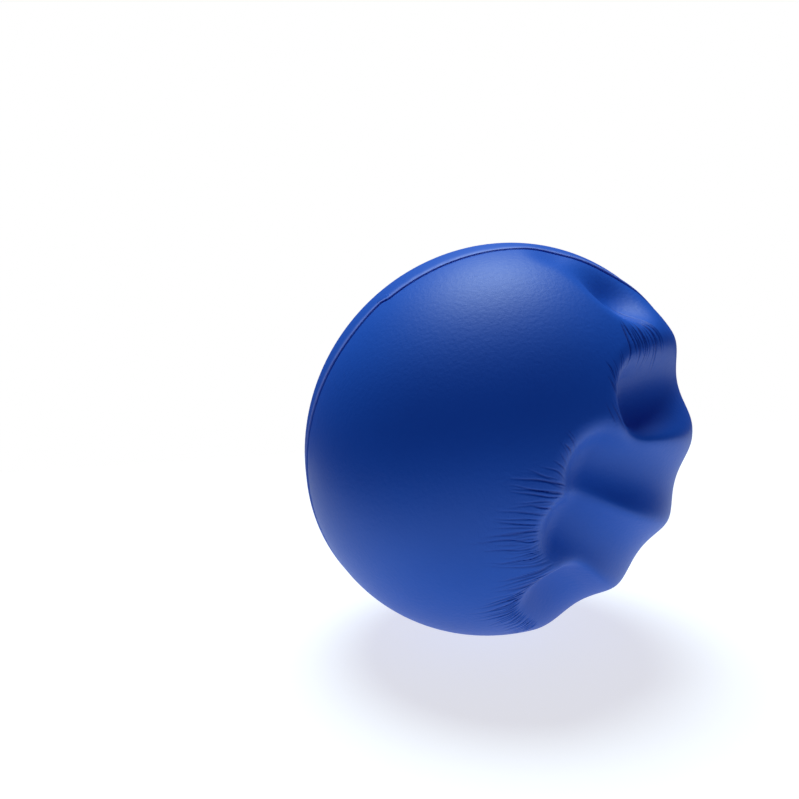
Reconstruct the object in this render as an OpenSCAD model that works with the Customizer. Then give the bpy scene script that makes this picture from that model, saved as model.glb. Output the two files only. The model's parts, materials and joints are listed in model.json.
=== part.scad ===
// Squeeze ball of soft foam, 70 mm across, as it is while a hand holds it half squeezed.
// The ball is foamed in a two-part mould. The foam fills the middle with open cells and
// forms a dense skin against each mould half, and each half is coated with elastic paint.
// Flash runs round the parting line, and the filling gate leaves a trimmed stub beside it.
// The origin is the centre of the round ball. The mould parts at the XZ plane.
// The front half faces -Y, where the fingertips press, and the palm is behind the back half.

/* [Ball] */
// Diameter of the ball with nothing pressing on it
ball_d = 70; // [60:1:90]
// Thickness of the dense foam skin
skin_t = 1.2; // [0.8:0.1:2]
// Thickness of the elastic paint coat
coat_t = 0.25; // [0.2:0.05:0.5]
// Clearance round the foam core and between the two halves
bond_gap = 0.2; // [0.1:0.05:0.3]

/* [Parting line] */
// Width of the flash across the parting line
flash_w = 0.7; // [0.4:0.1:1.5]
// How far the flash stands out of the coat
flash_h = 0.3; // [0.2:0.05:0.6]
// Where the filling gate was, in degrees round the parting line from the right
gate_angle = 128; // [110:1:250]
// Diameter of the trimmed gate stub
gate_d = 3; // [2:0.1:5]
// How far the gate stub stands out of the coat
gate_h = 0.5; // [0.3:0.05:1]

/* [Grip] */
// Radius of the hollow under a fingertip
finger_r = 11; // [8:0.5:14]
// Radius of the hollow under the thumb
thumb_r = 13; // [9:0.5:16]
// How deep a fingertip presses in
finger_depth = 6.5; // [3:0.5:8]
// How deep the thumb presses in
thumb_depth = 4.5; // [2:0.5:7]

/* [Hidden] */
$fn = 96;

ball_r = ball_d / 2;
// Depth below the coat's outer face at which each layer starts
coat_level = 0;
skin_level = coat_t;
skin_bottom = coat_t + skin_t;
core_level = skin_bottom + bond_gap;
half_gap = bond_gap / 2;
front = -1;
back = 1;

// Where each digit presses: [turn from -Y towards +X, lift towards +Z, radius, depth]
digits = [
    [50, 20, finger_r, finger_depth], // index finger
    [33, 0, finger_r, finger_depth], // middle finger
    [27, -20, finger_r, finger_depth], // ring finger
    [22, -45, finger_r, finger_depth], // little finger
    [72, 60, thumb_r, thumb_depth] // thumb
];

// Unit vector out of the ball at a turn and a lift
function outward(turn, lift) = [
    cos(lift) * sin(turn),
    -cos(lift) * cos(turn),
    sin(lift)
];

// The digits, grown by the depth of a layer so that the layer keeps its thickness
module grip(level) {
    for (digit = digits) {
        radius = digit[2];
        depth = digit[3];
        translate(outward(digit[0], digit[1]) * (ball_r - depth + radius))
            sphere(r = radius + level);
    }
}

// The squeezed ball from one layer's depth inwards, as a solid
module squeezed(level) {
    difference() {
        sphere(r = ball_r - level);
        grip(level);
    }
}

// All that lies on one side of the parting plane
module mould_side(side) {
    reach = ball_d + 10;
    near_face = side == back ? half_gap : -half_gap - reach;
    translate([-reach / 2, near_face, -reach / 2])
        cube(reach);
}

// One half of a layer of the ball, between two depths
module half_layer(side, outer_level, inner_level) {
    intersection() {
        difference() {
            squeezed(outer_level);
            squeezed(inner_level);
        }
        mould_side(side);
    }
}

// Open-cell foam that fills the ball
module foam_core() {
    color("lightsteelblue")
        squeezed(core_level);
}

// Dense foam skin formed in the front mould half
module front_skin() {
    color("cornflowerblue")
        half_layer(front, skin_level, skin_bottom);
}

// Dense foam skin formed in the back mould half
module back_skin() {
    color("cornflowerblue")
        half_layer(back, skin_level, skin_bottom);
}

// Elastic paint on the front half
module front_coat() {
    color("royalblue")
        half_layer(front, coat_level, skin_level);
}

// Elastic paint on the back half
module back_coat() {
    color("royalblue")
        half_layer(back, coat_level, skin_level);
}

// Puts its child on the coat behind the parting line, with +Z pointing out of the ball
module at_gate() {
    rotate([0, 90 - gate_angle, 0])
        translate([0, gate_d / 2 - flash_w / 2, ball_r])
            children();
}

// Thin ridge where the mould halves met, broken at the gate and where the thumb lies on it
module parting_flash() {
    color("slateblue")
        difference() {
            rotate([90, 0, 0])
                rotate_extrude()
                    translate([ball_r, -flash_w / 2])
                        polygon([
                            [0, 0],
                            [flash_h, flash_w * 0.3],
                            [flash_h, flash_w * 0.7],
                            [0, flash_w]
                        ]);
            grip(coat_level);
            at_gate()
                cylinder(h = 4 * gate_h, d = gate_d + bond_gap, center = true);
        }
}

// Stub of foam left where the filling gate was cut off
module gate_stub() {
    color("slateblue")
        at_gate()
            cylinder(h = gate_h, d = gate_d);
}

foam_core();
front_skin();
back_skin();
front_coat();
back_coat();
parting_flash();
gate_stub();
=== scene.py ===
"""The looks of a soft foam squeeze ball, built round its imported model.

Every length that a class holds is in millimetres and every angle in degrees. Meshes are
written in metres, in the frame's own axes: the origin is the centre of the round ball,
the mould parted at the XZ plane, and the front half faces -Y.
"""

import json
import logging
import math
import random
from dataclasses import dataclass, replace
from enum import Enum

import bpy
import numpy as np
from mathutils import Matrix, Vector


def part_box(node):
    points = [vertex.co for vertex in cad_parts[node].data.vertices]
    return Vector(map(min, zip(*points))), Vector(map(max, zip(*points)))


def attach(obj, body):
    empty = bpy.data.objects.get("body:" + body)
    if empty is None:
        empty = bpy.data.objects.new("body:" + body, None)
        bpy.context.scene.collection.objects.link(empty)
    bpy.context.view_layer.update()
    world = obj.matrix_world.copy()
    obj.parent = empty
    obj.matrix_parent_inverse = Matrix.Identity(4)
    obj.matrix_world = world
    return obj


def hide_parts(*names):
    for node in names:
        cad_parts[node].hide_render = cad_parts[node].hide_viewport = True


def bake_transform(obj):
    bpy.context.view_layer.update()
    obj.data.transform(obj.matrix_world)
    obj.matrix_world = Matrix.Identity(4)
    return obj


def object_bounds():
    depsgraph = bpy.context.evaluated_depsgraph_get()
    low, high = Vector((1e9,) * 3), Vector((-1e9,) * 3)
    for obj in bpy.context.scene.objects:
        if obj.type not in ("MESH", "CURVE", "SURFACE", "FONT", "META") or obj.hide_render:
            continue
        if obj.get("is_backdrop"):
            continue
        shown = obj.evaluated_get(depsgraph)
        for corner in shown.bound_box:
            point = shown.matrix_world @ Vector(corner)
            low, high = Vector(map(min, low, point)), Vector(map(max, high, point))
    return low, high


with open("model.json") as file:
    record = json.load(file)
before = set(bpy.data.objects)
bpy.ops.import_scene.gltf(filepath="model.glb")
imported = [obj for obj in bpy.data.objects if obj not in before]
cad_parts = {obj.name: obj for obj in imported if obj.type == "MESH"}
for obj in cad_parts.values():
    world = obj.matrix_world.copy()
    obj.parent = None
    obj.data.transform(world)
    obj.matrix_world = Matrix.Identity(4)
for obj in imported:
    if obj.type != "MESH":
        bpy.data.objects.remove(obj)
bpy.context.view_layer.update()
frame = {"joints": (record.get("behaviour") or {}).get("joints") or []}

LOG = logging.getLogger("squeeze_ball")
MM = 0.001
WHITE = "ffffff"
SHELL_EDGE = 50.0
BALL_EDGE = 60.0
PALM_SIDE = "palm_side"
SQUEEZE_JOINT = "squeeze"
# Vertex attribute for painted shade: it darkens the paint down in the crease valleys.
CREASE_SHADE_LAYER = "crease"
# Vertex attribute for a pale band just behind the parting line: partly rubbed paint, partly a
# painted reflection on the rim.
RUBBED_SHEEN_LAYER = "rubbed"
# Crease depth, in millimetres, at which the painted crease shade is darkest.
DARKEST_CREASE_SHADE = 0.22
# Where the pale rim band of rubbed paint and painted reflection lies, in millimetres behind the
# parting plane.
RUBBED_SHEEN_MIDDLE = 0.8
RUBBED_SHEEN_REACH = 0.9
RUBBED_SHEEN_START = -0.01


class Side(Enum):
    """The mould half that a layer was formed in: the sign of Y there."""

    FRONT = -1
    BACK = 1


# ---------------------------------------------------------------- small helpers


def linear(hex_colour: str) -> tuple[float, float, float, float]:
    """Turns an sRGB hex colour into the linear one that shaders work in.

    Args:
        hex_colour: Six hex digits, such as "1a3f9e".

    Returns:
        Red, green, blue and an alpha of 1.
    """
    shares = [int(hex_colour[i : i + 2], 16) / 255 for i in (0, 2, 4)]
    made = [c / 12.92 if c <= 0.04045 else ((c + 0.055) / 1.055) ** 2.4 for c in shares]
    return made[0], made[1], made[2], 1.0


def smooth_step(low: float, high: float, values: np.ndarray) -> np.ndarray:
    """Rises from 0 at low to 1 at high with level ends.

    Args:
        low: Where the rise starts.
        high: Where it ends.
        values: Where to read it.

    Returns:
        A value from 0 to 1 for each one given.
    """
    share = np.clip((values - low) / (high - low), 0.0, 1.0)
    return share * share * (3.0 - 2.0 * share)


def soft_max(values: list[np.ndarray], radius: float) -> np.ndarray:
    """Takes the largest of several fields, with the creases between them rounded off.

    Args:
        values: Fields of one shape.
        radius: How far from a crease the rounding is felt, in the fields' unit.

    Returns:
        One field, a little above the largest near a crease.
    """
    stacked = np.array(values) / radius
    top = stacked.max(axis=0)
    return radius * (top + np.log(np.exp(stacked - top).sum(axis=0)))


def rounded_max(first: np.ndarray, second: np.ndarray, reach: float) -> np.ndarray:
    """Takes the larger of two fields, rounded where they are within reach of each other."""
    near = np.maximum(reach - np.abs(first - second), 0.0)
    return np.maximum(first, second) + near * near / (4.0 * reach)


def unit(vectors: np.ndarray) -> np.ndarray:
    """Scales each vector to length 1."""
    return vectors / np.linalg.norm(vectors, axis=-1, keepdims=True)


def positions(piece: bpy.types.Object) -> np.ndarray:
    """Reads a mesh's vertices.

    Args:
        piece: A mesh object.

    Returns:
        One row of three for each vertex, in metres.
    """
    flat = np.zeros(len(piece.data.vertices) * 3, np.float32)
    piece.data.vertices.foreach_get("co", flat)
    return flat.reshape(-1, 3).astype(float)


def move_to(piece: bpy.types.Object, points: np.ndarray) -> None:
    """Puts a mesh's vertices where the rows of points say, in metres."""
    piece.data.vertices.foreach_set("co", points.astype(np.float32).ravel())
    piece.data.update()


def store(piece: bpy.types.Object, name: str, values: np.ndarray) -> None:
    """Keeps one number for each vertex as an attribute that a material can read.

    Args:
        piece: A mesh object.
        name: The attribute's name.
        values: One number for each vertex.
    """
    layer = piece.data.attributes.new(name, "FLOAT", "POINT")
    layer.data.foreach_set("value", values.astype(np.float32))


def select_only(piece: bpy.types.Object) -> None:
    """Makes a piece the only one selected, and the active one.

    Args:
        piece: The object to select.
    """
    bpy.ops.object.select_all(action="DESELECT")
    piece.select_set(True)
    bpy.context.view_layer.objects.active = piece


def edit(piece: bpy.types.Object) -> None:
    """Opens a piece, and no other, in edit mode."""
    select_only(piece)
    bpy.ops.object.mode_set(mode="EDIT")


def leave_edit() -> None:
    """Goes back to object mode."""
    bpy.ops.object.mode_set(mode="OBJECT")


def smooth_shade(piece: bpy.types.Object, angle: float) -> None:
    """Shades a piece smooth, but for edges that bend by more than an angle in degrees."""
    select_only(piece)
    bpy.ops.object.shade_smooth_by_angle(angle=math.radians(angle))


def face_middles(piece: bpy.types.Object) -> np.ndarray:
    """Reads where the middle of each face is.

    Args:
        piece: The object to read.

    Returns:
        Rows of three, in metres.
    """
    flat = np.zeros(len(piece.data.polygons) * 3, np.float32)
    piece.data.polygons.foreach_get("center", flat)
    return flat.reshape(-1, 3).astype(float)


def round_cube(name: str, radius: float, cells: int) -> bpy.types.Object:
    """Shapes a cube into a closed ball of even cells.

    Args:
        name: The piece's name.
        radius: The ball's radius, in millimetres.
        cells: How many cells run along each edge of the cube.

    Returns:
        The ball, in metres and about the origin.
    """
    bpy.ops.object.select_all(action="DESELECT")
    bpy.ops.mesh.primitive_cube_add(size=2 * radius / math.sqrt(3) * MM)
    piece = bpy.context.object
    piece.name = piece.data.name = name
    edit(piece)
    bpy.ops.mesh.select_all(action="SELECT")
    bpy.ops.mesh.subdivide(number_cuts=cells - 1)
    leave_edit()
    cast = piece.modifiers.new("cast", "CAST")
    cast.cast_type = "SPHERE"
    cast.factor = 1.0
    cast.use_radius_as_size = False
    cast.size = radius * MM
    bpy.ops.object.modifier_apply(modifier=cast.name)
    return piece


# ---------------------------------------------------------------- the grip


@dataclass(frozen=True)
class Place:
    """A place on the ball: a turn from -Y towards +X, and a lift towards +Z."""

    turn: float
    lift: float

    def outward(self) -> np.ndarray:
        """Gives the direction from the ball's centre through this place.

        Returns:
            A unit vector.
        """
        turn, lift = math.radians(self.turn), math.radians(self.lift)
        flat = math.cos(lift)
        return np.array([flat * math.sin(turn), -flat * math.cos(turn), math.sin(lift)])

    def rightward(self) -> np.ndarray:
        """Gives the unit vector along the surface in which the turn grows."""
        turn = math.radians(self.turn)
        return np.array([math.cos(turn), math.sin(turn), 0.0])

    def upward(self) -> np.ndarray:
        """Gives the unit vector along the surface in which the lift grows."""
        return np.cross(self.rightward(), -self.outward())


@dataclass(frozen=True)
class Digit:
    """A finger or thumb that lies on the ball, from its tip to where it leaves the side."""

    name: str
    tip: Place
    leaving: Place
    radius: float
    tip_depth: float
    leaving_depth: float

    def reach(self, points: np.ndarray, ball_radius: float) -> np.ndarray:
        """Works out how far points are inside the digit.

        Args:
            points: Rows of three, in millimetres.
            ball_radius: Radius of the round ball that the digit presses on.

        Returns:
            Millimetres from the digit's surface, positive inside it.
        """
        start, end = self.tip.outward(), self.leaving.outward()
        across = unit(end - start * (start @ end))
        sweep = math.acos(float(start @ end))
        angle = np.clip(np.arctan2(points @ across, points @ start), 0.0, sweep)
        lift_off = smooth_step(0.0, sweep, angle)
        depth = self.tip_depth + (self.leaving_depth - self.tip_depth) * lift_off
        ring = ball_radius - depth + self.radius
        bone = ring[:, None] * (
            np.cos(angle)[:, None] * start + np.sin(angle)[:, None] * across
        )
        return self.radius - np.linalg.norm(points - bone, axis=1)


@dataclass(frozen=True)
class Crease:
    """One fine fold of the coat: it starts at a place and runs off in a heading.

    The heading is in degrees, anticlockwise from the direction in which the turn grows. The
    fold begins to rise at lead_in before its start, has its whole depth from full_from on,
    and fades out over the rest of its length from fade_share. A raised bank lies each side.
    """

    start: Place
    heading: float
    length: float
    depth: float
    width: float
    bend: float
    sway: float
    sway_length: float = 6.5
    lead_in: float = 2.8
    full_from: float = 0.8
    fade_share: float = 0.25
    tail: float = 0.3
    bank_height: float = 0.4
    bank_width: float = 2.6
    same_side: float = 0.5

    def along_and_across(
        self, outward: np.ndarray, ball_radius: float
    ) -> tuple[np.ndarray, np.ndarray]:
        """Measures where places on the ball are, along this fold and across it.

        Args:
            outward: Rows of unit vectors from the ball's centre.
            ball_radius: Radius of the round ball, in millimetres.

        Returns:
            Millimetres along the fold from its start, and millimetres to its left.
        """
        away = ball_radius * (outward - self.start.outward())
        right, up = away @ self.start.rightward(), away @ self.start.upward()
        heading = math.radians(self.heading)
        along = right * math.cos(heading) + up * math.sin(heading)
        across = up * math.cos(heading) - right * math.sin(heading)
        bow = self.bend * along * along / self.length
        wave = self.sway * np.sin(2 * math.pi * along / self.sway_length)
        return along, across - bow - wave

    def near(self, outward: np.ndarray, ball_radius: float, margin: float) -> np.ndarray:
        """Says which places are on this fold or close beside it.

        Args:
            outward: Rows of unit vectors from the ball's centre.
            ball_radius: Radius of the round ball, in millimetres.
            margin: How far beside the fold still counts, in millimetres.

        Returns:
            True or False for each row.
        """
        along, across = self.along_and_across(outward, ball_radius)
        facing = outward @ self.start.outward() > self.same_side
        beside = np.abs(across) < margin
        return facing & beside & (along > -self.lead_in) & (along < self.length + self.tail)

    def depth_at(self, outward: np.ndarray, ball_radius: float, spread: float) -> np.ndarray:
        """Works out how deep this fold is at places on the ball.

        Args:
            outward: Rows of unit vectors from the ball's centre.
            ball_radius: Radius of the round ball, in millimetres.
            spread: How many times wider the fold is, as it is below the coat's face.

        Returns:
            Millimetres, positive in the valley. On the coat's face, where the spread is 1,
            the banks are raised, so the depth there is a little negative.
        """
        along, across = self.along_and_across(outward, ball_radius)
        near_end = smooth_step(-self.lead_in, self.full_from, along)
        far_end = 1.0 - smooth_step(self.fade_share * self.length, self.length, along)
        valley = np.exp(-((across / (spread * self.width)) ** 2))
        banks = self.bank_height * np.exp(-((across / (self.bank_width * self.width)) ** 2))
        profile = valley - banks if spread == 1.0 else valley
        return self.depth * near_end * far_end * profile


@dataclass(frozen=True)
class Grip:
    """How five digits press into the ball, and the creases that they raise.

    The foam gives way along one direction, the squeeze joint's, from the fingers to the palm.
    Every point of every layer moves that way by its own share of the joint's travel. Where
    the ball's face turns along that direction the hollows fade out, and a crease needs more
    travel for its depth, up to the travel that it needs at least_facing.
    """

    ball_radius: float
    travel: float
    direction: np.ndarray
    digits: tuple[Digit, ...]
    creases: tuple[Crease, ...]
    finger_blend: float = 0.9
    foam_blend: float = 4.0
    touching: float = 0.001
    halvings: int = 24
    fading: float = 0.25
    least_facing: float = 0.35
    crossing_share: float = 0.5
    crease_reach: float = 1.3

    def digit_reach(self, points: np.ndarray) -> np.ndarray:
        """How far points are inside the nearest digit, in millimetres."""
        found = [d.reach(points, self.ball_radius) for d in self.digits]
        return soft_max(found, self.finger_blend)

    def outside(self, points: np.ndarray) -> np.ndarray:
        """How far points are outside the squeezed foam, in millimetres."""
        beyond_ball = np.linalg.norm(points, axis=1) - self.ball_radius
        return rounded_max(beyond_ball, self.digit_reach(points), self.foam_blend)

    def hollow(self, outward: np.ndarray) -> np.ndarray:
        """Finds how far the digits push the ball's face along the squeeze direction.

        Args:
            outward: Rows of unit vectors from the ball's centre.

        Returns:
            Millimetres, from 0 to the joint's travel.
        """
        face = outward * self.ball_radius
        low, high = np.zeros(len(face)), np.full(len(face), self.travel)
        for _ in range(self.halvings):
            middle = (low + high) / 2
            still_out = self.outside(face + middle[:, None] * self.direction) > 0
            low = np.where(still_out, middle, low)
            high = np.where(still_out, high, middle)
        pressed = self.outside(face) > self.touching
        fade = smooth_step(0.0, self.fading, -(outward @ self.direction))
        return np.where(pressed, (low + high) / 2 * fade, 0.0)

    def crease_depth(self, outward: np.ndarray, spread: float) -> np.ndarray:
        """Works out how deep the creases are at places on the ball.

        Args:
            outward: Rows of unit vectors from the ball's centre.
            spread: How many times wider the creases are than on the coat's face.

        Returns:
            Millimetres for each row.
        """
        total = np.zeros(len(outward))
        for crease in self.creases:
            angle = self.crease_reach * crease.length / self.ball_radius
            close = outward @ crease.start.outward() > math.cos(angle)
            found = crease.depth_at(outward[close], self.ball_radius, spread)
            before = total[close]
            crossing = before + self.crossing_share * found if spread == 1.0 else before
            total[close] = np.where(found > before, found, crossing)
        return total

    def share(self, outward: np.ndarray, creased: np.ndarray) -> np.ndarray:
        """Works out by what share of the joint's travel each place has moved.

        Args:
            outward: Rows of unit vectors from the ball's centre.
            creased: How deep the creases are at each, in millimetres.

        Returns:
            A share from 0 to 1 for each row.
        """
        facing = np.maximum(-(outward @ self.direction), self.least_facing)
        return np.clip((self.hollow(outward) + creased / facing) / self.travel, 0.0, 1.0)


@dataclass(frozen=True)
class CreaseRange:
    """The least and the most that the creases of one group may measure, in millimetres."""

    depth: tuple[float, float]
    width: tuple[float, float]
    bend: tuple[float, float]
    sway: tuple[float, float]

    def drawn(self, draw: random.Random, start: Place, heading: float, length: float) -> Crease:
        """Draws one crease.

        Args:
            draw: Where the small differences between creases come from.
            start: Where it starts.
            heading: Which way it runs, in degrees.
            length: How long it is, in millimetres.

        Returns:
            The crease.
        """
        return Crease(
            start=start,
            heading=heading,
            length=length,
            depth=draw.uniform(*self.depth),
            width=draw.uniform(*self.width),
            bend=draw.uniform(*self.bend),
            sway=draw.uniform(*self.sway),
        )


@dataclass(frozen=True)
class CreaseBand:
    """A run of creases along the edge of the hollows, from one lift down to another."""

    top_lift: float
    bottom_lift: float
    count: int
    shortest: float
    longest: float
    first_heading: float
    last_heading: float


@dataclass(frozen=True)
class PinchedSkin:
    """The creases that fan out from the four fingertips, and those under the thumb's tip."""

    bands: tuple[CreaseBand, ...] = (
        CreaseBand(35.0, 26.0, 9, 2.5, 4.5, 98.0, 116.0),
        CreaseBand(22.0, 9.0, 9, 2.5, 5.5, 112.0, 146.0),
        CreaseBand(8.0, -5.0, 14, 5.0, 12.0, 154.0, 176.0),
        CreaseBand(-6.0, -20.0, 22, 5.5, 12.0, 177.0, 190.0),
        CreaseBand(-21.0, -37.0, 32, 6.0, 12.0, 192.0, 210.0),
        CreaseBand(-38.0, -56.0, 30, 4.5, 9.0, 212.0, 236.0),
    )
    finger_range: CreaseRange = CreaseRange(
        depth=(0.1, 0.28), width=(0.15, 0.25), bend=(-0.1, 0.16), sway=(-0.12, 0.12)
    )
    uneven_share: float = 0.45
    uneven_start: tuple[float, float] = (-6.0, 4.0)
    uneven_heading: float = 6.0
    edge_reach: float = -1.2
    first_turn: float = -40.0
    last_turn: float = 60.0
    turn_step: float = 0.5
    thumb_range: CreaseRange = CreaseRange(
        depth=(0.2, 0.42), width=(0.15, 0.25), bend=(-0.08, 0.14), sway=(-0.1, 0.1)
    )
    thumb_first_turn: float = 42.0
    thumb_last_turn: float = 64.0
    thumb_lift: float = 42.5
    thumb_heading: float = 262.0
    thumb_count: int = 14
    thumb_lengths: tuple[float, float] = (6.5, 10.5)
    thumb_uneven_share: float = 0.25
    thumb_uneven_lift: tuple[float, float] = (-2.2, 1.0)
    thumb_uneven_heading: float = 7.0
    seed: int = 7

    def edge_turn(self, grip: Grip, lift: float) -> float:
        """Finds how far round the fingertips' edge is, at one height on the ball.

        Args:
            grip: The digits, with no creases yet.
            lift: The height, in degrees.

        Returns:
            The turn at which the fingers' edge meets the ball.
        """
        turns = np.arange(self.first_turn, self.last_turn, self.turn_step)
        rows = np.array([Place(t, lift).outward() for t in turns])
        inside = grip.digit_reach(rows * grip.ball_radius) > self.edge_reach
        return float(turns[np.argmax(inside)]) if inside.any() else float(turns[-1])

    def beside_fingers(self, grip: Grip, draw: random.Random) -> list[Crease]:
        """Lays out the creases that fan out from the fingertips.

        Args:
            grip: The digits, with no creases yet.
            draw: Where the small differences between creases come from.

        Returns:
            The creases, from the index finger down.
        """
        found = []
        uneven, turned = self.uneven_share, self.uneven_heading
        for band in self.bands:
            for i in range(band.count):
                share = (i + 0.5 + draw.uniform(-uneven, uneven)) / band.count
                lift = band.top_lift + (band.bottom_lift - band.top_lift) * share
                heading = band.first_heading + (band.last_heading - band.first_heading) * share
                apart = max(0.0, draw.uniform(*self.uneven_start))
                start = Place(self.edge_turn(grip, lift) - apart, lift)
                heading += draw.uniform(-turned, turned)
                length = draw.uniform(band.shortest, band.longest)
                found.append(self.finger_range.drawn(draw, start, heading, length))
        return found

    def under_thumb(self, draw: random.Random) -> list[Crease]:
        """Lays out the creases that run from the thumb's tip down to the index finger.

        Args:
            draw: Where the small differences between creases come from.

        Returns:
            The creases, from the front round to the side.
        """
        found = []
        run = self.thumb_last_turn - self.thumb_first_turn
        uneven, turned = self.thumb_uneven_share, self.thumb_uneven_heading
        for i in range(self.thumb_count):
            share = (i + draw.uniform(-uneven, uneven)) / (self.thumb_count - 1)
            lift = self.thumb_lift + draw.uniform(*self.thumb_uneven_lift)
            start = Place(self.thumb_first_turn + run * share, lift)
            heading = self.thumb_heading + draw.uniform(-turned, turned)
            length = draw.uniform(*self.thumb_lengths)
            found.append(self.thumb_range.drawn(draw, start, heading, length))
        return found

    def creases(self, grip: Grip) -> tuple[Crease, ...]:
        """Lays out all the creases.

        Args:
            grip: The digits, with no creases yet.

        Returns:
            The creases, the same ones on every run.
        """
        draw = random.Random(self.seed)
        return tuple(self.beside_fingers(grip, draw) + self.under_thumb(draw))


@dataclass(frozen=True)
class Set:
    """The shape that the foam keeps for a while after a squeeze, and that the mould gave it.

    Between the palm and the fingertips the ball is a little narrower, and square to that it
    is a little longer. The mould's two halves leave a groove beside the parting line, and the
    line steps sideways where the foam was let in.
    """

    long_axis: tuple[float, float, float] = (0.6646, 0.1098, 0.7391)
    short_axis: tuple[float, float, float] = (-0.7228, 0.3455, 0.5985)
    long_share: float = 0.033
    short_share: float = 0.032
    neck: Place = Place(74.0, 31.0)
    neck_swell: float = 0.9
    neck_reach: float = 7.5
    mean_radius: float = 35.0
    gate_angle: float = 128.0
    step_before: float = -0.25
    step_after: float = 0.9
    run_before: float = 18.0
    run_after: float = 9.0
    half_step: float = 0.8
    line_reach: float = 2.2
    groove_place: float = 0.3
    groove_width: float = 0.15
    groove_depth: float = 0.24

    def shaped(self, points: np.ndarray) -> np.ndarray:
        """Moves points of the round ball to where the foam has set.

        Args:
            points: Rows of three, in millimetres.

        Returns:
            The rows moved, in millimetres.
        """
        outward = unit(points)
        near_line = np.exp(-((points[:, 1] / self.line_reach) ** 2))
        past_gate = np.degrees(np.arctan2(points[:, 2], points[:, 0])) - self.gate_angle
        before = self.step_before * np.exp(-((past_gate / self.run_before) ** 2))
        after = self.step_after * np.exp(-((past_gate / self.run_after) ** 2))
        step = before + (after - before) * smooth_step(-self.half_step, self.half_step, past_gate)
        groove = np.exp(-(((points[:, 1] + self.groove_place) / self.groove_width) ** 2))
        away = np.linalg.norm(outward - self.neck.outward(), axis=1) * self.mean_radius
        swell = self.neck_swell * np.exp(-((away / self.neck_reach) ** 2))
        moved = points + (swell - self.groove_depth * groove)[:, None] * outward
        moved[:, 1] += step * near_line
        longer = (self.long_axis, self.long_share)
        shorter = (self.short_axis, -self.short_share)
        for axis, share in (longer, shorter):
            line = unit(np.array(axis))
            moved = moved + share * (moved @ line)[:, None] * line
        return moved


# ---------------------------------------------------------------- finishes


def add_node(
    tree: bpy.types.NodeTree,
    kind: str,
    links: dict[str | int, object] | None = None,
    **settings: object,
) -> bpy.types.Node:
    """Adds one node with its settings, input values and links.

    Args:
        tree: The material's node tree.
        kind: The node's type, such as "ShaderNodeTexNoise".
        links: What each input takes: an output socket, or a value.
        **settings: The node's own properties by name.

    Returns:
        The new node.
    """
    node = tree.nodes.new(kind)
    for name, value in settings.items():
        setattr(node, name, value)
    for name, source in (links or {}).items():
        socket = node.inputs[name]
        if isinstance(source, bpy.types.NodeSocket):
            tree.links.new(source, socket)
        else:
            socket.default_value = source
    return node


def add_noise(
    tree: bpy.types.NodeTree, where: bpy.types.NodeSocket, size: float, detail: float
) -> bpy.types.NodeSocket:
    """Adds a noise texture.

    Args:
        tree: The material's node tree.
        where: The coordinates it is laid on.
        size: About how large its blotches are, in millimetres.
        detail: How many finer noises are laid over it.

    Returns:
        Its value.
    """
    values = {"Vector": where, "Scale": 1 / (size * MM), "Detail": detail}
    return add_node(tree, "ShaderNodeTexNoise", values).outputs["Fac"]


def add_mix(
    tree: bpy.types.NodeTree, share: bpy.types.NodeSocket, first: object, second: object
) -> bpy.types.NodeSocket:
    """Adds a mix of two colours.

    Args:
        tree: The material's node tree.
        share: How much of the second colour there is.
        first: One colour, or a socket that gives it.
        second: The other.

    Returns:
        The mixed colour.
    """
    values = {"Factor": share, "A": first, "B": second}
    return add_node(tree, "ShaderNodeMix", values, data_type="RGBA").outputs["Result"]


def add_bump(
    tree: bpy.types.NodeTree, height: bpy.types.NodeSocket, depth: float
) -> bpy.types.NodeSocket:
    """Adds a bump.

    Args:
        tree: The material's node tree.
        height: The pattern that it raises.
        depth: How far it raises it, in millimetres.

    Returns:
        The bent normal.
    """
    values = {"Height": height, "Distance": depth * MM, "Strength": 1.0}
    return add_node(tree, "ShaderNodeBump", values).outputs["Normal"]


def new_material(name: str) -> tuple[bpy.types.Material, bpy.types.NodeTree, bpy.types.Node]:
    """Makes a node material.

    Args:
        name: Its name.

    Returns:
        The material, its node tree and its shader.
    """
    made = bpy.data.materials.new(name)
    made.use_nodes = True
    return made, made.node_tree, made.node_tree.nodes["Principled BSDF"]


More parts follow.
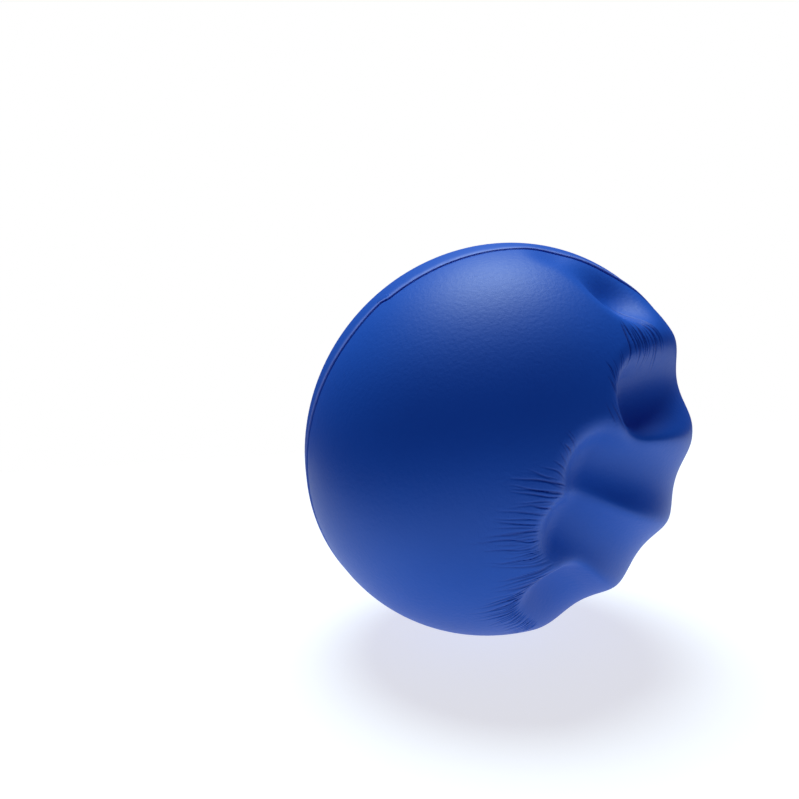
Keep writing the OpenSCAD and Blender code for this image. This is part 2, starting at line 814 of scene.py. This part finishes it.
@dataclass(frozen=True)
class ElasticPaint:
    """Elastic polyurethane paint, sprayed into the mould.

    It gives the eye a satin face with a fine grain from the mould, a little cloudy in colour,
    with painted shade that darkens it down in the creases, and a pale band along the rim by
    the parting line that is partly scuffs where it has been rubbed and partly a painted
    reflection. The grain's size is a guess: it is drawn coarse enough to show.
    """

    name: str = "elastic_polyurethane_paint"
    blue: str = "145cc6"
    cloudy_blue: str = "1256bc"
    # Pale blue of the rim band: partly rubbed paint, partly a painted reflection.
    rubbed_sheen_blue: str = "8ca0e2"
    # Painted shade: the darker blue that the paint turns down in the creases.
    crease_shade_blue: str = "0d2f8a"
    roughness: float = 0.5
    roughness_swing: float = 0.04
    ior: float = 1.34
    cloud_size: float = 14.0
    scuff_size: float = 1.8
    grain_size: float = 0.7
    grain_depth: float = 0.045

    def material(self) -> bpy.types.Material:
        """Builds the node material.

        Returns:
            The material.
        """
        made, tree, shader = new_material(self.name)
        where = add_node(tree, "ShaderNodeTexCoord").outputs["Object"]
        clouds = add_noise(tree, where, self.cloud_size, detail=3.0)
        scuffs = add_noise(tree, where, self.scuff_size, detail=3.0)
        grain = add_noise(tree, where, self.grain_size, detail=4.0)
        crease = add_node(tree, "ShaderNodeAttribute", attribute_name=CREASE_SHADE_LAYER)
        rub_and_sheen = add_node(tree, "ShaderNodeAttribute", attribute_name=RUBBED_SHEEN_LAYER)
        body = add_mix(tree, clouds, linear(self.blue), linear(self.cloudy_blue))
        # Painted shade: the paint turns darker blue down in the creases.
        creased = add_mix(tree, crease.outputs["Fac"], body, linear(self.crease_shade_blue))
        # Pale band behind the parting line: partly rubbed scuffs, partly a painted reflection on
        # the rim.
        rubbed_sheen_through = add_node(
            tree, "ShaderNodeMath", {0: rub_and_sheen.outputs["Fac"], 1: scuffs}, operation="MULTIPLY"
        ).outputs["Value"]
        worn_and_sheen = add_mix(tree, rubbed_sheen_through, creased, linear(self.rubbed_sheen_blue))
        duller = add_node(
            tree,
            "ShaderNodeMapRange",
            {
                "Value": grain,
                "To Min": self.roughness - self.roughness_swing,
                "To Max": self.roughness + self.roughness_swing,
            },
        )
        bump = add_bump(tree, grain, self.grain_depth)
        tree.links.new(worn_and_sheen, shader.inputs["Base Color"])
        tree.links.new(duller.outputs["Result"], shader.inputs["Roughness"])
        tree.links.new(bump, shader.inputs["Normal"])
        shader.inputs["IOR"].default_value = self.ior
        return made


@dataclass(frozen=True)
class MouldedFoam:
    """Flexible polyurethane foam.

    It gives the eye a matt face, pitted by burst cells. The cells' sizes are guesses: they are
    drawn coarse enough to show.
    """

    name: str
    pale: str
    deep: str
    cell_size: float
    cell_depth: float
    roughness: float = 0.9

    def material(self) -> bpy.types.Material:
        """Builds the node material.

        Returns:
            The material.
        """
        made, tree, shader = new_material(self.name)
        where = add_node(tree, "ShaderNodeTexCoord").outputs["Object"]
        values = {"Vector": where, "Scale": 1 / (self.cell_size * MM)}
        voronoi = add_node(tree, "ShaderNodeTexVoronoi", values, feature="SMOOTH_F1")
        cells = voronoi.outputs["Distance"]
        shade = add_mix(tree, cells, linear(self.deep), linear(self.pale))
        tree.links.new(shade, shader.inputs["Base Color"])
        tree.links.new(add_bump(tree, cells, self.cell_depth), shader.inputs["Normal"])
        shader.inputs["Roughness"].default_value = self.roughness
        return made


@dataclass(frozen=True)
class LightTable:
    """Matt white acrylic, lit from below: it gives the eye a soft shadow and no gloss."""

    name: str = "lit_white_acrylic"
    white: str = "a8a9ac"
    glow: float = 0.7
    roughness: float = 0.9

    def material(self) -> bpy.types.Material:
        """Builds the material.

        Returns:
            The material.
        """
        made, _, shader = new_material(self.name)
        shader.inputs["Base Color"].default_value = linear(self.white)
        shader.inputs["Roughness"].default_value = self.roughness
        shader.inputs["Emission Color"].default_value = linear(WHITE)
        shader.inputs["Emission Strength"].default_value = self.glow
        return made


# ---------------------------------------------------------------- the ball's layers


@dataclass
class HalfLayer:
    """One half of a layer of the ball, as a closed shell: a coat of paint or a foam skin."""

    name: str
    node: str
    slot: str
    side: Side
    outer_radius: float
    thickness: float
    grip: Grip
    cells: int
    crease_margins: tuple[float, ...] = ()
    face_spread: float | None = None
    inside_spread: float | None = None
    fill: float | None = None
    rings: tuple[float, ...] = (0.0, 0.1, 0.2, 0.3, 0.4, 0.5, 0.8)
    beside_digits: float = 9.0

    def dome(self) -> bpy.types.Object:
        """Shapes a cube into an even half ball, with close rings beside the parting plane.

        Returns:
            The open half ball, in metres.
        """
        piece = round_cube(self.name, self.outer_radius, self.cells)
        edit(piece)
        for offset in self.rings:
            bpy.ops.mesh.select_all(action="SELECT")
            bpy.ops.mesh.bisect(
                plane_co=(0, self.side.value * offset * MM, 0),
                plane_no=(0, -self.side.value, 0),
                clear_outer=offset == 0.0,
            )
        leave_edit()
        return piece

    def on_face(self, points: np.ndarray) -> np.ndarray:
        """Says which points, in metres, are on the outer face and not the inner one."""
        middle = (self.outer_radius - self.thickness / 2) * MM
        return np.linalg.norm(points, axis=1) > middle

    def refine(self, piece: bpy.types.Object, wanted: np.ndarray) -> None:
        """Splits some faces of the outer face, and rounds it again.

        Args:
            piece: The half ball, or the shell made from it.
            wanted: True or False for each face.
        """
        edit(piece)
        bpy.ops.mesh.select_mode(type="FACE")
        bpy.ops.mesh.select_all(action="DESELECT")
        leave_edit()
        piece.data.polygons.foreach_set("select", wanted)
        edit(piece)
        bpy.ops.mesh.subdivide(number_cuts=1, ngon=False)
        leave_edit()
        points = positions(piece)
        outer = self.on_face(points)
        points[outer] = unit(points[outer]) * self.outer_radius * MM
        move_to(piece, points)

    def near_digits(self, centres: np.ndarray) -> np.ndarray:
        """Says which faces are near a digit, from their middles."""
        reach = self.grip.digit_reach(unit(centres) * self.grip.ball_radius)
        return reach > -self.beside_digits

    def near_creases(self, centres: np.ndarray, margin: float) -> np.ndarray:
        """Says which faces of the outer face are on or beside a crease.

        Args:
            centres: The middle of each face, in metres.
            margin: How far beside a crease a face still counts, in millimetres.

        Returns:
            True or False for each row.
        """
        found = np.zeros(len(centres), bool)
        for crease in self.grip.creases:
            found |= crease.near(unit(centres), self.grip.ball_radius, margin)
        return found & self.on_face(centres)

    def creased(self, points: np.ndarray) -> np.ndarray:
        """Works out how deep the creases are, on the outer face and on the inner one.

        Args:
            points: Rows of three, in metres, on the round shell.

        Returns:
            Millimetres for each row.
        """
        outer = self.on_face(points)
        depth = np.zeros(len(points))
        for rows, spread in ((outer, self.face_spread), (~outer, self.inside_spread)):
            if spread is not None:
                depth[rows] = self.grip.crease_depth(unit(points[rows]), spread)
        return depth

    def build(self) -> bpy.types.Object:
        """Builds the shell and squeezes it.

        Returns:
            The finished piece, with no material yet.
        """
        piece = self.dome()
        self.refine(piece, self.near_digits(face_middles(piece)))
        edit(piece)
        inner = (self.outer_radius - self.thickness) / self.outer_radius
        bpy.ops.mesh.select_mode(type="VERT")
        bpy.ops.mesh.select_all(action="SELECT")
        bpy.ops.mesh.duplicate()
        bpy.ops.transform.resize(value=(inner, inner, inner), center_override=(0, 0, 0))
        bpy.ops.mesh.flip_normals()
        bpy.ops.mesh.select_all(action="DESELECT")
        bpy.ops.mesh.select_mode(type="EDGE")
        bpy.ops.mesh.select_non_manifold()
        bpy.ops.mesh.bridge_edge_loops()
        leave_edit()
        for margin in self.crease_margins:
            self.refine(piece, self.near_creases(face_middles(piece), margin))
        squeeze_piece(piece, self.grip, self.creased(positions(piece)))
        smooth_shade(piece, SHELL_EDGE)
        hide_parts(self.node)
        LOG.info("%s: %d vertices", self.name, len(piece.data.vertices))
        return piece


def squeeze_piece(
    piece: bpy.types.Object, grip: Grip, creased: np.ndarray | None = None
) -> None:
    """Presses a round piece as the grip says.

    Args:
        piece: A round mesh about the origin.
        grip: The digits.
        creased: How deep the creases are at each vertex, in millimetres, if there are any.
    """
    round_points = positions(piece)
    outward = unit(round_points)
    creased = np.zeros(len(outward)) if creased is None else creased
    share = grip.share(outward, creased)
    settled = Set().shaped(round_points / MM) + share[:, None] * grip.travel * grip.direction
    move_to(piece, settled * MM)
    # Painted shade: how dark the paint turns in each crease, from the crease's depth.
    store(piece, CREASE_SHADE_LAYER, np.clip(creased / DARKEST_CREASE_SHADE, 0.0, 1.0))
    # A pale band just behind the parting line: partly rubbed paint, partly a painted reflection
    # on the rim.
    behind = round_points[:, 1] / MM
    rubbed = np.exp(-(((behind - RUBBED_SHEEN_MIDDLE) / RUBBED_SHEEN_REACH) ** 2))
    store(piece, RUBBED_SHEEN_LAYER, rubbed * (behind > RUBBED_SHEEN_START))
    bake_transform(piece)


@dataclass
class FoamCore:
    """The open-cell foam that fills the skins."""

    radius: float
    grip: Grip
    cells: int = 56

    def build(self) -> bpy.types.Object:
        """Builds the core.

        Returns:
            The finished piece, with no material yet.
        """
        piece = round_cube("core_foam", self.radius, self.cells)
        squeeze_piece(piece, self.grip)
        smooth_shade(piece, BALL_EDGE)
        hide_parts("foam_core")
        LOG.info("core_foam: %d vertices", len(piece.data.vertices))
        return piece


@dataclass
class PartingLine:
    """The flash round the parting line and the trimmed stub of the filling gate."""

    ball_radius: float
    grip: Grip
    flash_half_width: float = 0.42
    flash_height: float = 0.2
    flash_behind: float = 0.9
    flash_steps: int = 480
    flash_sides: int = 14
    stub_radius: float = 1.4
    stub_height: float = 0.4
    stub_bevel: float = 0.3
    stub_proud: float = 0.16
    stub_behind: float = 1.3
    stub_sides: int = 40
    stub_bevel_steps: int = 4

    def flash(self) -> bpy.types.Object:
        """Builds the flash as a flat-sided ring that follows the squeezed coat.

        Returns:
            The finished piece, with no material yet.
        """
        bpy.ops.object.select_all(action="DESELECT")
        bpy.ops.mesh.primitive_torus_add(
            rotation=(math.pi / 2, 0, 0),
            major_radius=self.ball_radius * MM,
            minor_radius=self.flash_height * MM,
            major_segments=self.flash_steps,
            minor_segments=self.flash_sides,
        )
        piece = bpy.context.object
        piece.name = piece.data.name = "flash_ring"
        bpy.ops.object.transform_apply(location=True, rotation=True, scale=True)
        edit(piece)
        bpy.ops.mesh.select_all(action="SELECT")
        wider = self.flash_half_width / self.flash_height
        bpy.ops.transform.resize(value=(1, wider, 1), center_override=(0, 0, 0))
        behind = self.flash_behind * self.flash_half_width * MM
        bpy.ops.transform.translate(value=(0, behind, 0))
        leave_edit()
        squeeze_piece(piece, self.grip)
        smooth_shade(piece, BALL_EDGE)
        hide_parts("parting_flash")
        LOG.info("flash_ring: %d vertices", len(piece.data.vertices))
        return piece

    def stub(self) -> bpy.types.Object:
        """Builds the gate stub as a low button with a torn, rounded rim.

        Returns:
            The finished piece, with no material yet.
        """
        bpy.ops.object.select_all(action="DESELECT")
        bpy.ops.mesh.primitive_cylinder_add(
            vertices=self.stub_sides,
            radius=self.stub_radius * MM,
            depth=2 * self.stub_height * MM,
            location=(0, 0, 0),
        )
        piece = bpy.context.object
        piece.name = piece.data.name = "gate_button"
        edit(piece)
        bpy.ops.mesh.select_all(action="SELECT")
        bpy.ops.mesh.bevel(
            offset=self.stub_bevel * MM, segments=self.stub_bevel_steps, affect="EDGES"
        )
        bpy.ops.mesh.select_all(action="SELECT")
        rise = self.ball_radius + self.stub_proud - self.stub_height
        bpy.ops.transform.translate(value=(0, self.stub_behind * MM, rise * MM))
        leave_edit()
        piece.rotation_euler = (0, math.radians(90 - Set().gate_angle), 0)
        bpy.ops.object.transform_apply(location=True, rotation=True, scale=True)
        move_to(piece, Set().shaped(positions(piece) / MM) * MM)
        smooth_shade(piece, BALL_EDGE)
        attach(piece, PALM_SIDE)
        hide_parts("gate_stub")
        LOG.info("gate_button: %d vertices", len(piece.data.vertices))
        return piece


@dataclass
class SqueezeBall:
    """The whole ball: its core, two skins, two coats, flash and gate stub."""

    coat_thickness: float = 0.25
    skin_thickness: float = 1.2
    core_gap: float = 0.2
    finger_radius: float = 7.0
    thumb_radius: float = 8.0
    finger_depth: float = 6.3
    little_depth: float = 5.2
    thumb_depth: float = 4.5
    finger_leave: float = 0.8
    thumb_leave: float = 0.4
    skin_cells: int = 48
    coat_cells: int = 54
    crease_margins: tuple[float, ...] = (0.7, 0.42)
    coat_spread: float = 1.0
    under_coat_spread: float = 3.0
    skin_spread: float = 4.0
    paint: ElasticPaint = ElasticPaint()
    # The flash ring's paler blue is partly rubbed paint on the trimmed flash and partly a painted
    # reflection along the rim.
    rubbed_sheen_paint: ElasticPaint = ElasticPaint(
        name="rubbed_sheen_polyurethane_paint",
        blue="4a72d2",
        cloudy_blue="3560c8",
        cloud_size=2.5,
        roughness=0.55,
    )
    skin_foam: MouldedFoam = MouldedFoam(
        "dense_polyurethane_skin", pale="2f4d96", deep="233c7c", cell_size=0.25, cell_depth=0.02
    )
    core_foam: MouldedFoam = MouldedFoam(
        "open_cell_polyurethane_foam", pale="8fa3d0", deep="5a6fa8", cell_size=0.7, cell_depth=0.2
    )

    def ball_radius(self) -> float:
        """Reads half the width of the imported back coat, which no digit narrows."""
        low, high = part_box("back_coat")
        return (high.z - low.z) / 2 / MM

    def digits(self) -> tuple[Digit, ...]:
        """Places the five digits as the hand holds them.

        Returns:
            The digits, from the index finger down, and then the thumb.
        """
        wide, deep, leave = self.finger_radius, self.finger_depth, self.finger_leave
        little, thumb = self.little_depth, self.thumb_radius
        press, ease = self.thumb_depth, self.thumb_leave
        return (
            Digit("index", Place(41, 22.5), Place(92, 12), wide, deep, leave),
            Digit("middle", Place(19, 5.5), Place(84, -16), wide, deep, leave),
            Digit("ring", Place(12.5, -10.5), Place(75, -37), wide, deep, leave),
            Digit("little", Place(12.5, -36), Place(58, -59), wide, little, leave),
            Digit("thumb", Place(67, 54), Place(77, 73), thumb, press, ease),
        )

    def grip(self) -> Grip:
        """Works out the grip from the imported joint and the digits.

        Returns:
            The grip, with its creases.
        """
        joint = next(j for j in frame["joints"] if j["name"] == SQUEEZE_JOINT)
        bare = Grip(
            ball_radius=self.ball_radius(),
            travel=-joint["range_m"][0] / MM,
            direction=np.array(joint["axis"], float),
            digits=self.digits(),
            creases=(),
        )
        LOG.info("pressed by: %s", ", ".join(digit.name for digit in bare.digits))
        return replace(bare, creases=PinchedSkin().creases(bare))

    def layers(self, side: Side, grip: Grip) -> tuple[HalfLayer, HalfLayer]:
        """Describes one half of the foam skin and of the coat of paint.

        Args:
            side: Which half of the mould they come from.
            grip: The digits and the creases.

        Returns:
            The skin and the coat, not built yet.
        """
        label = side.name.lower()
        creased = side is Side.FRONT
        skin = HalfLayer(
            f"{label}_foam_skin",
            f"{label}_skin",
            "skin",
            side,
            grip.ball_radius - self.coat_thickness,
            self.skin_thickness,
            grip,
            cells=self.skin_cells,
            face_spread=self.skin_spread if creased else None,
            fill=0.9,
        )
        coat = HalfLayer(
            f"{label}_paint_coat",
            f"{label}_coat",
            "coat",
            side,
            grip.ball_radius,
            self.coat_thickness,
            grip,
            cells=self.coat_cells,
            crease_margins=self.crease_margins if creased else (),
            face_spread=self.coat_spread if creased else None,
            inside_spread=self.under_coat_spread if creased else None,
        )
        return skin, coat

    def build(self) -> None:
        """Builds and dresses every piece, outermost last."""
        grip = self.grip()
        skin_radius = grip.ball_radius - self.coat_thickness
        core_radius = skin_radius - self.skin_thickness - self.core_gap
        core = FoamCore(core_radius, grip).build()
        core.data.materials.append(self.core_foam.material())
        skin_material = self.skin_foam.material()
        paint = self.paint.material()
        for side in Side:
            skin, coat = self.layers(side, grip)
            skin.build().data.materials.append(skin_material)
            coat.build().data.materials.append(paint)
        line = PartingLine(grip.ball_radius, grip)
        line.stub().data.materials.append(paint)
        line.flash().data.materials.append(self.rubbed_sheen_paint.material())


# ---------------------------------------------------------------- the studio


@dataclass
class Studio:
    """A lit white table under the ball, one large soft light over it, and the camera."""

    azimuth: float = -11.5
    elevation: float = 18.0
    distance: float = 500.0
    lens: float = 125.24
    aim_left: float = 17.75
    aim_above: float = 7.1
    table_width: float = 280.0
    table_place: tuple[float, float] = (40.0, -40.0)
    key_from: tuple[float, float, float] = (0.012, 0.526, 0.850)
    key_spread: float = 37.0
    key_power: float = 3.7
    key_colour: str = "ecffff"
    room_strength: float = 0.16
    room_colour: str = "a09cff"
    clip: tuple[float, float] = (0.01, 60.0)
    table: LightTable = LightTable()

    def floor(self) -> None:
        """Lays the table at the ball's lowest point."""
        low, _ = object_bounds()
        bpy.ops.object.select_all(action="DESELECT")
        across, along = self.table_place
        bpy.ops.mesh.primitive_plane_add(
            size=self.table_width * MM, location=(across * MM, along * MM, low.z)
        )
        top = bpy.context.object
        top.name = "table_top"
        top.data.materials.append(self.table.material())
        top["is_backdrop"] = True

    def lights(self) -> None:
        """Sets the soft light overhead and the dim room, which the camera sees as white."""
        data = bpy.data.lights.new("overhead", "SUN")
        data.energy, data.angle = self.key_power, math.radians(self.key_spread)
        data.color = linear(self.key_colour)[:3]
        light = bpy.data.objects.new("overhead", data)
        bpy.context.scene.collection.objects.link(light)
        light.rotation_euler = (-Vector(self.key_from)).to_track_quat("-Z", "Y").to_euler()
        world = bpy.data.worlds.new("studio_room")
        world.use_nodes = True
        tree = world.node_tree
        room = tree.nodes["Background"]
        room.inputs["Strength"].default_value = self.room_strength
        room.inputs["Color"].default_value = linear(self.room_colour)
        backdrop = add_node(
            tree, "ShaderNodeBackground", {"Color": linear(WHITE), "Strength": 1.0}
        )
        seen = add_node(tree, "ShaderNodeLightPath").outputs["Is Camera Ray"]
        both = add_node(tree, "ShaderNodeMixShader", {"Fac": seen})
        tree.links.new(room.outputs[0], both.inputs[1])
        tree.links.new(backdrop.outputs[0], both.inputs[2])
        tree.links.new(both.outputs[0], tree.nodes["World Output"].inputs["Surface"])
        bpy.context.scene.world = world
        bpy.context.scene.view_settings.view_transform = "Standard"

    def camera(self) -> None:
        """Places the camera and aims it a little beside the ball."""
        seen_from = Place(self.azimuth, self.elevation)
        back = Vector(seen_from.outward())
        right = Vector(seen_from.rightward())
        up = back.cross(right)
        aim = (up * self.aim_above - right * self.aim_left) * MM
        data = bpy.data.cameras.new("camera")
        data.lens = self.lens
        data.clip_start, data.clip_end = self.clip
        camera = bpy.data.objects.new("camera", data)
        bpy.context.scene.collection.objects.link(camera)
        camera.location = aim + back * self.distance * MM
        camera.rotation_euler = (-back).to_track_quat("-Z", "Y").to_euler()
        bpy.context.scene.camera = camera

    def build(self) -> None:
        """Sets up the floor, the lights and the camera."""
        self.camera()
        self.floor()
        self.lights()
        LOG.info("studio: a lit table, a soft light overhead and the camera")


def main() -> None:
    """Builds the ball and then the studio round it."""
    logging.basicConfig(level=logging.INFO, format="%(name)s: %(message)s")
    SqueezeBall().build()
    Studio().build()


if __name__ == "__main__":
    main()
